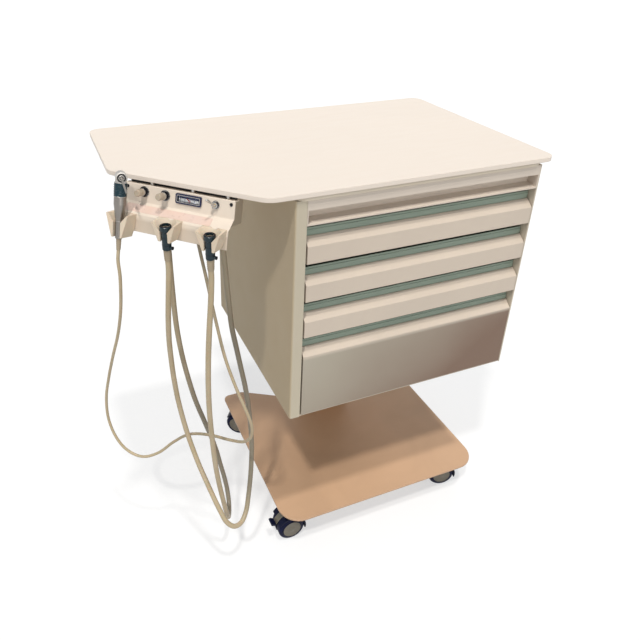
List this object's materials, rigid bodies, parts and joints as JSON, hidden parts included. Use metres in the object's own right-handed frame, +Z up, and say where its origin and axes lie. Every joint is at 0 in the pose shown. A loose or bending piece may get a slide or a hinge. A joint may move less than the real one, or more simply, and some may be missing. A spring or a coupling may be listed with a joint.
{
  "type": "portable dental unit",
  "caption": "Wheeled dental unit: drawer cabinet on a column and base, worktop whose cut corner carries a control panel, instrument holders, a syringe and hanging hoses.",
  "frame": {"origin": "on the floor, under the middle of the unit's outline without its free hoses", "axes": "+Z up, -Y towards the user who opens the drawers, +X to that user's right"},
  "size_m": [0.8474, 0.465, 0.8663],
  "materials": {
    "worktop_laminate": "smooth pale cream compact laminate",
    "cabinet_coat": "fine cream powder coat",
    "drawer_coat": "satin cream powder coat",
    "box_coat": "matte sage green powder coat",
    "stand_coat": "warm beige powder coat",
    "zinc": "zinc plated sheet",
    "caster_steel": "dark zinc",
    "hood_plastic": "black moulded plastic",
    "tyre_rubber": "black rubber tread, grey hub",
    "head_coat": "satin cream powder coat",
    "bright_steel": "polished",
    "screw_black": "blackened steel",
    "gauge_plastic": "navy blue",
    "dial_white": "printed white",
    "gauge_window": "clear",
    "needle_red": "red",
    "valve_brass": "machined",
    "knob_plastic": "beige moulded plastic",
    "holder_plastic": "cream moulded plastic",
    "coupler_metal": "dark slate",
    "handle_grey": "grey satin",
    "collar_teal": "dark teal",
    "button_grey": "grey",
    "relief_rubber": "dark grey",
    "hose_silicone": "beige silicone"
  },
  "bodies": {
    "root": {"base_plate": "stand_coat", "column": "stand_coat", "bottom_panel": "cabinet_coat", "side_panel_left": "cabinet_coat", "side_panel_right": "cabinet_coat", "back_panel": "cabinet_coat", "header_panel": "cabinet_coat", "top_plate": "cabinet_coat", "worktop": "worktop_laminate", "runner_channels": "zinc", "runner_posts": "zinc", "caster_plates": "caster_steel", "head_panel": "head_coat", "head_housing": "head_coat", "head_spacers": "bright_steel", "panel_screws": "screw_black", "gauge_case": "gauge_plastic", "gauge_dial": "dial_white", "gauge_lens": "gauge_window", "valve_nuts": "screw_black", "valve_block": "valve_brass", "holder_left": "holder_plastic", "holder_middle": "holder_plastic", "holder_right": "holder_plastic", "coupler_middle": "coupler_metal", "coupler_right": "coupler_metal", "syringe_handle": "handle_grey", "syringe_collar": "collar_teal", "syringe_head": "bright_steel", "syringe_nozzle": "bright_steel", "hose_reliefs": "relief_rubber", "hose_barbs": "bright_steel", "hose_syringe": "hose_silicone", "hose_middle": "hose_silicone", "hose_right": "hose_silicone", "supply_inlets": "valve_brass"},
    "caster_fl": {"caster_fl_hood": "hood_plastic"},
    "caster_fl_wheels": {"caster_fl_wheels": "tyre_rubber"},
    "caster_fl_brake": {"caster_fl_brake": "hood_plastic"},
    "caster_fr": {"caster_fr_hood": "hood_plastic"},
    "caster_fr_wheels": {"caster_fr_wheels": "tyre_rubber"},
    "caster_fr_brake": {"caster_fr_brake": "hood_plastic"},
    "caster_bl": {"caster_bl_hood": "hood_plastic"},
    "caster_bl_wheels": {"caster_bl_wheels": "tyre_rubber"},
    "caster_br": {"caster_br_hood": "hood_plastic"},
    "caster_br_wheels": {"caster_br_wheels": "tyre_rubber"},
    "drawer_1": {"drawer_1_front": "drawer_coat", "drawer_1_box": "box_coat"},
    "drawer_2": {"drawer_2_front": "drawer_coat", "drawer_2_box": "box_coat"},
    "drawer_3": {"drawer_3_front": "drawer_coat", "drawer_3_box": "box_coat"},
    "drawer_4": {"drawer_4_front": "drawer_coat", "drawer_4_box": "box_coat"},
    "knob_air": {"knob_air": "knob_plastic"},
    "knob_water": {"knob_water": "knob_plastic"},
    "toggle": {"toggle_lever": "bright_steel"},
    "needle": {"gauge_needle": "needle_red"},
    "button_air": {"syringe_button_air": "button_grey"},
    "button_water": {"syringe_button_water": "button_grey"}
  },
  "joints": [
    {"name": "caster_fl_swivel", "type": "hinge", "parent": "root", "child": "caster_fl", "pos_m": [-0.07724, -0.1825, 0.07], "axis": [0, 0, 1], "continuous": true},
    {"name": "caster_fl_roll", "type": "hinge", "parent": "caster_fl", "child": "caster_fl_wheels", "pos_m": [-0.09924, -0.1825, 0.03], "axis": [0, 1, 0], "continuous": true},
    {"name": "caster_fl_brake_press", "type": "hinge", "parent": "caster_fl", "child": "caster_fl_brake", "pos_m": [-0.12461, -0.1825, 0.03923], "axis": [0, -1, 0], "range_deg": [0, 18]},
    {"name": "caster_fr_swivel", "type": "hinge", "parent": "root", "child": "caster_fr", "pos_m": [0.32876, -0.1825, 0.07], "axis": [0, 0, 1], "continuous": true},
    {"name": "caster_fr_roll", "type": "hinge", "parent": "caster_fr", "child": "caster_fr_wheels", "pos_m": [0.30751, -0.17681, 0.03], "axis": [0.2588, 0.9659, 0], "continuous": true},
    {"name": "caster_fr_brake_press", "type": "hinge", "parent": "caster_fr", "child": "caster_fr_brake", "pos_m": [0.283, -0.17024, 0.03923], "axis": [-0.2588, -0.9659, 0], "range_deg": [0, 18]},
    {"name": "caster_bl_swivel", "type": "hinge", "parent": "root", "child": "caster_bl", "pos_m": [-0.07724, 0.1495, 0.07], "axis": [0, 0, 1], "continuous": true},
    {"name": "caster_bl_roll", "type": "hinge", "parent": "caster_bl", "child": "caster_bl_wheels", "pos_m": [-0.09409, 0.16364, 0.03], "axis": [0.6428, 0.766, 0], "continuous": true},
    {"name": "caster_br_swivel", "type": "hinge", "parent": "root", "child": "caster_br", "pos_m": [0.32876, 0.1495, 0.07], "axis": [0, 0, 1], "continuous": true},
    {"name": "caster_br_roll", "type": "hinge", "parent": "caster_br", "child": "caster_br_wheels", "pos_m": [0.30809, 0.15702, 0.03], "axis": [0.342, 0.9397, 0], "continuous": true},
    {"name": "drawer_1_slide", "type": "slide", "parent": "root", "child": "drawer_1", "axis": [0, -1, 0], "range_m": [0, 0.29]},
    {"name": "drawer_2_slide", "type": "slide", "parent": "root", "child": "drawer_2", "axis": [0, -1, 0], "range_m": [0, 0.29]},
    {"name": "drawer_3_slide", "type": "slide", "parent": "root", "child": "drawer_3", "axis": [0, -1, 0], "range_m": [0, 0.29]},
    {"name": "drawer_4_slide", "type": "slide", "parent": "root", "child": "drawer_4", "axis": [0, -1, 0], "range_m": [0, 0.29]},
    {"name": "knob_air_turn", "type": "hinge", "parent": "root", "child": "knob_air", "pos_m": [-0.34336, -0.08073, 0.82501], "axis": [-0.689, -0.689, 0.225], "range_deg": [0, 720]},
    {"name": "knob_water_turn", "type": "hinge", "parent": "root", "child": "knob_water", "pos_m": [-0.31437, -0.10972, 0.82501], "axis": [-0.689, -0.689, 0.225], "range_deg": [0, 720]},
    {"name": "toggle_rock", "type": "hinge", "parent": "root", "child": "toggle", "pos_m": [-0.24307, -0.17206, 0.82354], "axis": [0.7071, -0.7071, 0], "range_deg": [0, 60]},
    {"name": "needle_sweep", "type": "hinge", "parent": "root", "child": "needle", "pos_m": [-0.27343, -0.13242, 0.81864], "axis": [0.689, 0.689, -0.225], "range_deg": [0, 100], "stiffness_Nm_per_rad": 0.0002},
    {"name": "button_air_press", "type": "slide", "parent": "root", "child": "button_air", "axis": [-0.0733, -0.9823, 0.1723], "range_m": [0, 0.002], "stiffness_N_per_m": 400},
    {"name": "button_water_press", "type": "slide", "parent": "root", "child": "button_water", "axis": [-0.0733, -0.9823, 0.1723], "range_m": [0, 0.002], "stiffness_N_per_m": 400}
  ]
}
